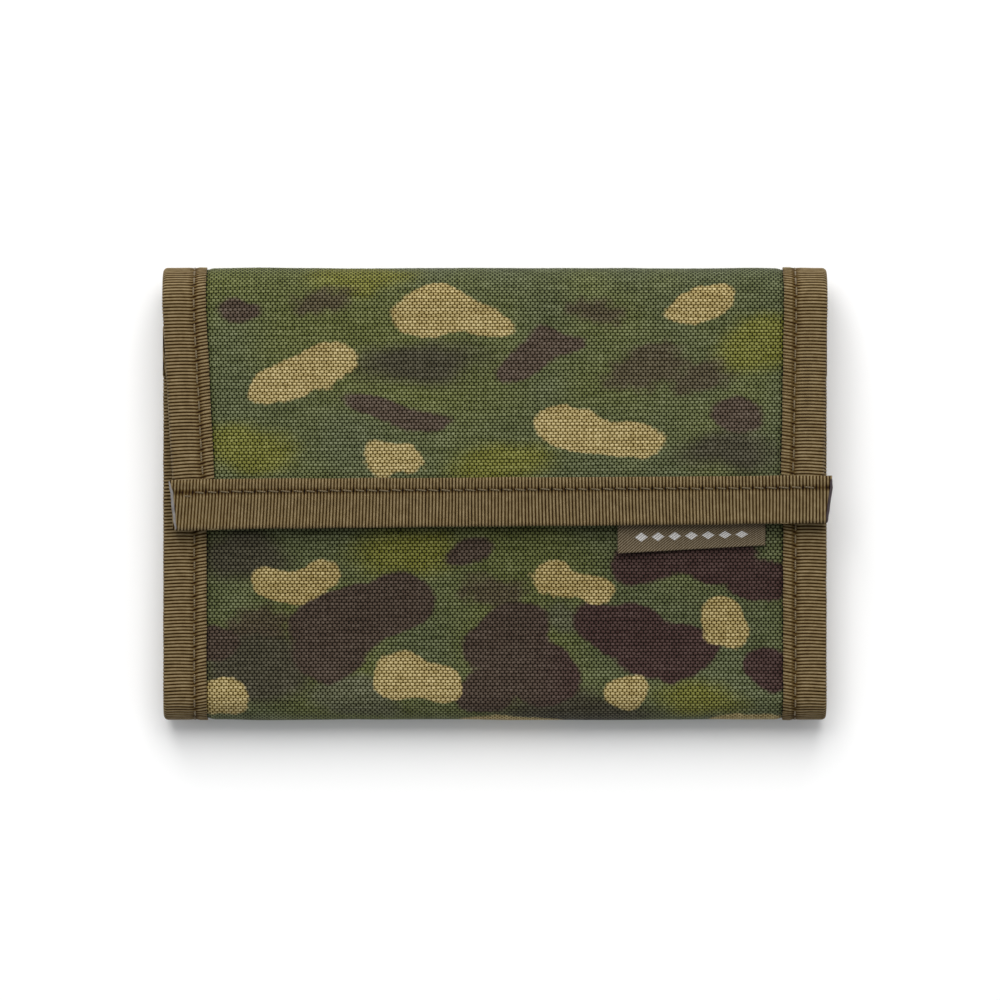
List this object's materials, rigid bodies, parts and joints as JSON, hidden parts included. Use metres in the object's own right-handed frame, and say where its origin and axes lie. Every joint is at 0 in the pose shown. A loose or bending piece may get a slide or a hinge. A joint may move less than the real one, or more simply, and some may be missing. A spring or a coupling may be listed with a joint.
{
  "type": "trifold wallet",
  "caption": "Folded camouflage nylon wallet with grosgrain-bound edges, a hook-and-loop flap, card pockets, a clear window and a zipped coin pocket.",
  "frame": {"origin": "middle of the shut wallet's width and height, on the plane that its back lies on", "axes": "+X to the right along the width as the front is looked at, +Y up towards the top fold, +Z out of the back through the front panel and the flap"},
  "size_m": [0.1318, 0.0896, 0.0159],
  "materials": {
    "camouflage_nylon": "matt plain-weave textured nylon, printed in green, tan and brown",
    "grosgrain_tape": "matt ribbed coyote-brown tape",
    "lining_cloth": "fine plain-weave nylon, slight sheen",
    "hook_and_loop": "pile",
    "label_cloth": "twill-woven, blank",
    "clear_film": "clear and glossy",
    "zip_coil": "satin",
    "zip_metal": "dark satin"
  },
  "bodies": {
    "back": {"back_shell": "camouflage_nylon", "back_lining": "lining_cloth", "back_binding_left": "grosgrain_tape", "back_binding_right": "grosgrain_tape", "bill_pocket_panel": "lining_cloth", "bill_pocket_binding": "grosgrain_tape", "card_pocket_rear": "lining_cloth", "card_pocket_middle": "lining_cloth", "id_window_film": "clear_film", "id_window_frame": "lining_cloth"},
    "top_spine": {"top_spine_shell": "camouflage_nylon", "top_spine_lining": "lining_cloth", "top_spine_binding_left": "grosgrain_tape", "top_spine_binding_right": "grosgrain_tape"},
    "flap": {"flap_shell": "camouflage_nylon", "flap_lining": "lining_cloth", "flap_binding_left": "grosgrain_tape", "flap_binding_right": "grosgrain_tape", "hook_patch": "hook_and_loop", "flap_edge_binding": "grosgrain_tape", "woven_label": "label_cloth"},
    "bottom_spine": {"bottom_spine_shell": "camouflage_nylon", "bottom_spine_lining": "lining_cloth", "bottom_spine_binding_left": "grosgrain_tape", "bottom_spine_binding_right": "grosgrain_tape"},
    "front": {"front_shell": "camouflage_nylon", "front_lining": "lining_cloth", "front_binding_left": "grosgrain_tape", "front_binding_right": "grosgrain_tape", "loop_patch": "hook_and_loop", "front_edge_binding": "grosgrain_tape", "coin_pocket_panel": "lining_cloth", "zip_tape_upper": "lining_cloth", "zip_tape_lower": "lining_cloth", "zip_teeth_upper": "zip_coil", "zip_teeth_lower": "zip_coil", "zip_stop_left": "zip_metal", "zip_stop_right": "zip_metal"},
    "zip_slider": {"zip_slider": "zip_metal", "zip_pull": "zip_metal"}
  },
  "joints": [
    {"name": "top_fold", "type": "hinge", "parent": "back", "child": "top_spine", "pos_m": [0, 0.0431, 0.00165], "axis": [-1, 0, 0], "range_deg": [0, 90]},
    {"name": "flap_fold", "type": "hinge", "parent": "top_spine", "child": "flap", "pos_m": [0, 0.0431, 0.0137], "axis": [-1, 0, 0], "range_deg": [0, 90]},
    {"name": "bottom_fold", "type": "hinge", "parent": "back", "child": "bottom_spine", "pos_m": [0, -0.04358, 0.00118], "axis": [1, 0, 0], "range_deg": [0, 90]},
    {"name": "front_fold", "type": "hinge", "parent": "bottom_spine", "child": "front", "pos_m": [0, -0.04358, 0.00978], "axis": [1, 0, 0], "range_deg": [0, 90]},
    {"name": "zip_slide", "type": "slide", "parent": "front", "child": "zip_slider", "axis": [-1, 0, 0], "range_m": [0, 0.082]}
  ],
  "couplings": [
    {"joint": "flap_fold", "follows": "top_fold", "ratio": 1},
    {"joint": "front_fold", "follows": "bottom_fold", "ratio": 1}
  ]
}
